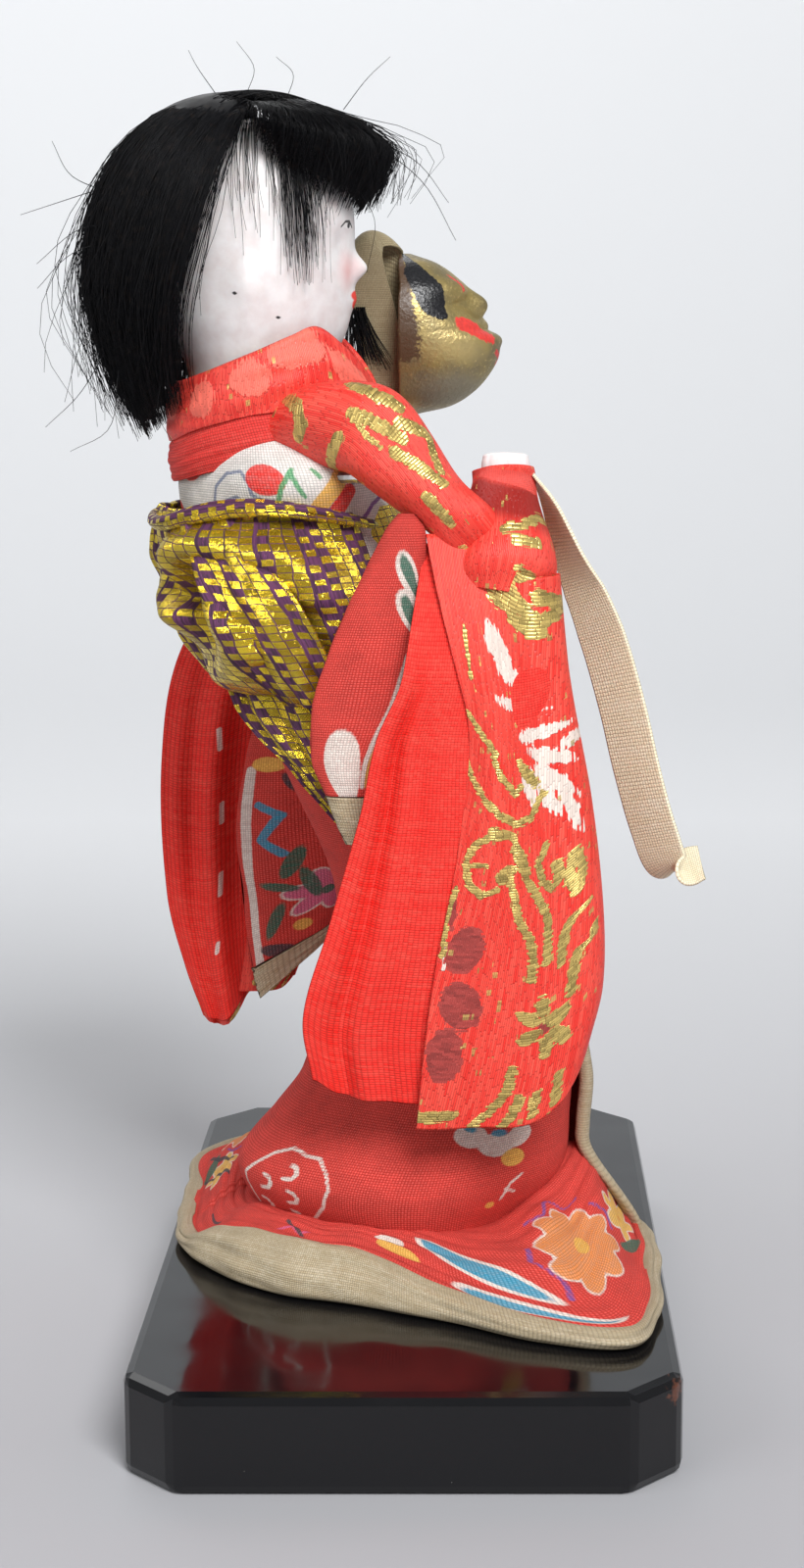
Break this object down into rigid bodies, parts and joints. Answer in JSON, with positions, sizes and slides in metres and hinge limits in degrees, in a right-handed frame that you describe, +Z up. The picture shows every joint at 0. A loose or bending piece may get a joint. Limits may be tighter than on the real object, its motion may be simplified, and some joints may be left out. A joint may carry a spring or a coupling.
{
  "type": "kimono doll",
  "caption": "Standing Japanese doll in a red kimono with a gold obi, holding a gold mask and a ribbon, on a black lacquered board; the head turns.",
  "frame": {"origin": "centre of the board's underside", "axes": "+X the way the doll looks, +Y its left side, +Z up"},
  "size_m": [0.0779, 0.113, 0.1621],
  "materials": {
    "lacquer": "black gloss lacquer on wood",
    "steel": "plain steel wire and nails",
    "wood": "bare wood",
    "straw": "straw and paper bound tight",
    "skin": "white shell paint over plaster, satin",
    "hair": "black silk fibre",
    "print": "printed red cotton with flowers",
    "cream": "cream woven silk, ribbed",
    "satin": "red satin with woven lighter patches",
    "plain_red": "plain red cotton",
    "brocade": "red satin brocade with gold thread",
    "lame": "gold foil squares on purple thread",
    "gold": "gold paint over plaster"
  },
  "bodies": {
    "root": {"lacquered_board": "lacquer", "foot_nail_right": "steel", "foot_nail_left": "steel", "leg_block": "wood", "torso_block": "straw", "waist_dowel": "wood", "arm_wire": "steel", "hand_right": "skin", "hand_left": "skin", "mask_tuft": "hair", "kimono_skirt": "print", "front_overlap": "print", "kimono_hem": "print", "kimono_bodice": "print", "under_sleeve_right": "print", "under_sleeve_left": "print", "under_sleeve_edge_right": "cream", "under_sleeve_edge_left": "cream", "hem_lining": "cream", "cream_collar": "cream", "mask_ribbon": "cream", "hand_ribbon": "cream", "satin_collar": "satin", "under_collar": "plain_red", "sleeve_lining_right": "plain_red", "sleeve_lining_left": "plain_red", "upper_sleeve_right": "brocade", "upper_sleeve_left": "brocade", "cuff_right": "brocade", "cuff_left": "brocade", "sleeve_right": "brocade", "sleeve_left": "brocade", "obi_band": "lame", "obi_loop_right": "lame", "obi_loop_left": "lame", "obi_tie": "lame", "obi_tail": "lame", "mask_shell": "gold"},
    "head": {"head": "skin", "neck_dowel": "wood", "hair_bob": "hair", "hair_fringe": "hair", "hair_lock_right": "hair", "hair_lock_left": "hair"}
  },
  "joints": [
    {"name": "neck_turn", "type": "hinge", "parent": "root", "child": "head", "pos_m": [-0.0195, 0, 0.1225], "axis": [0, 0, 1], "range_deg": [-20, 20]}
  ]
}
